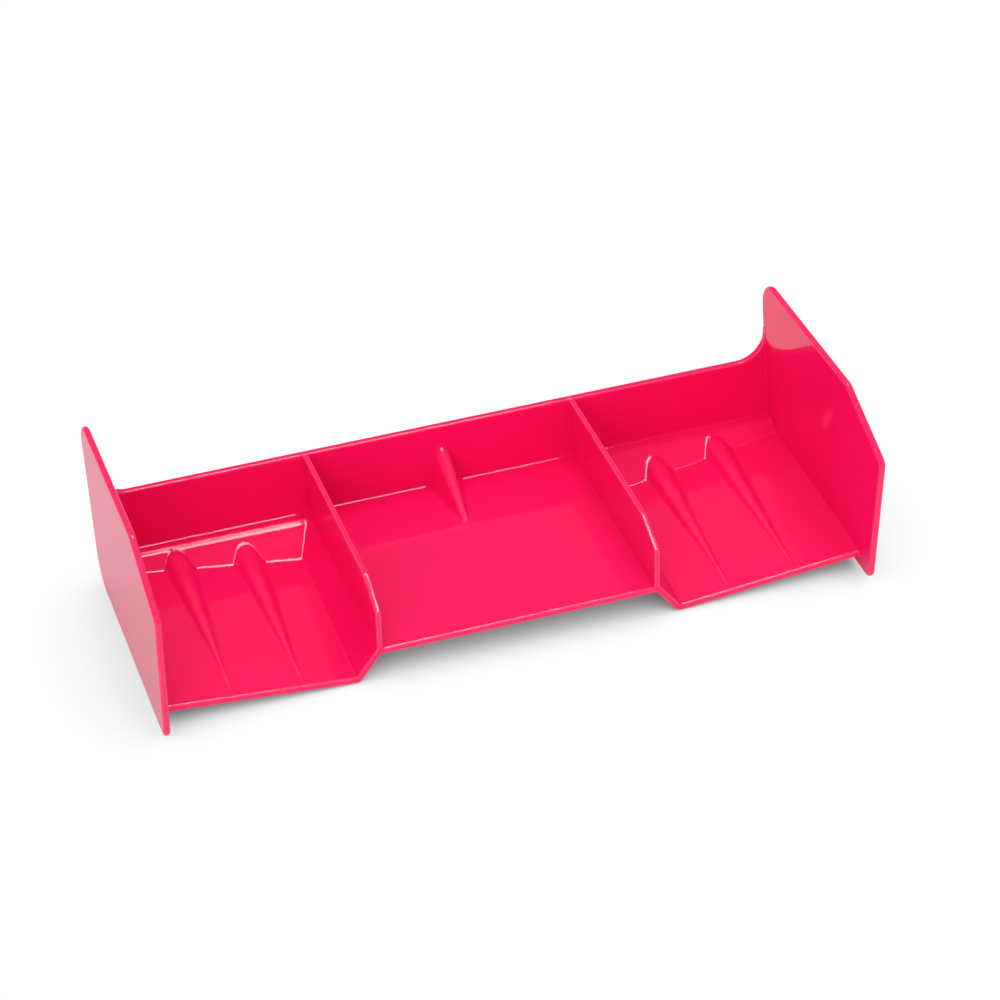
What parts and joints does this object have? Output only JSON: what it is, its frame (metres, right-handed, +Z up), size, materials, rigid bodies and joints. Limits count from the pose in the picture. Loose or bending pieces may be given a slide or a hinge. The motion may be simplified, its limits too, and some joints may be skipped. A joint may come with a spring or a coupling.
{
  "type": "model car rear wing",
  "caption": "Moulded rear wing for a model race car: raised centre floor, outer floors with ridges, two dividers, upright rear wall and tall end plates.",
  "frame": {"origin": "on the ground plane, under the middle of the wing's bounding box", "axes": "+X to the right seen from the leading edge, +Y from the leading edge back to the rear wall, +Z up"},
  "size_m": [0.1824, 0.0776, 0.0484],
  "materials": {
    "moulded_plastic": "glossy fluorescent pink injection moulding, slightly translucent, with rounded edges"
  },
  "bodies": {
    "root": {"rear_wall": "moulded_plastic", "centre_deck": "moulded_plastic", "centre_fin": "moulded_plastic", "right_end_plate": "moulded_plastic", "left_end_plate": "moulded_plastic", "right_wall_gusset": "moulded_plastic", "left_wall_gusset": "moulded_plastic", "right_divider": "moulded_plastic", "left_divider": "moulded_plastic", "right_ramp": "moulded_plastic", "left_ramp": "moulded_plastic", "right_outer_deck": "moulded_plastic", "left_outer_deck": "moulded_plastic", "right_kick_up": "moulded_plastic", "left_kick_up": "moulded_plastic", "right_shelf": "moulded_plastic", "left_shelf": "moulded_plastic", "right_inner_ridge": "moulded_plastic", "left_inner_ridge": "moulded_plastic", "right_outer_ridge": "moulded_plastic", "left_outer_ridge": "moulded_plastic"}
  },
  "joints": []
}
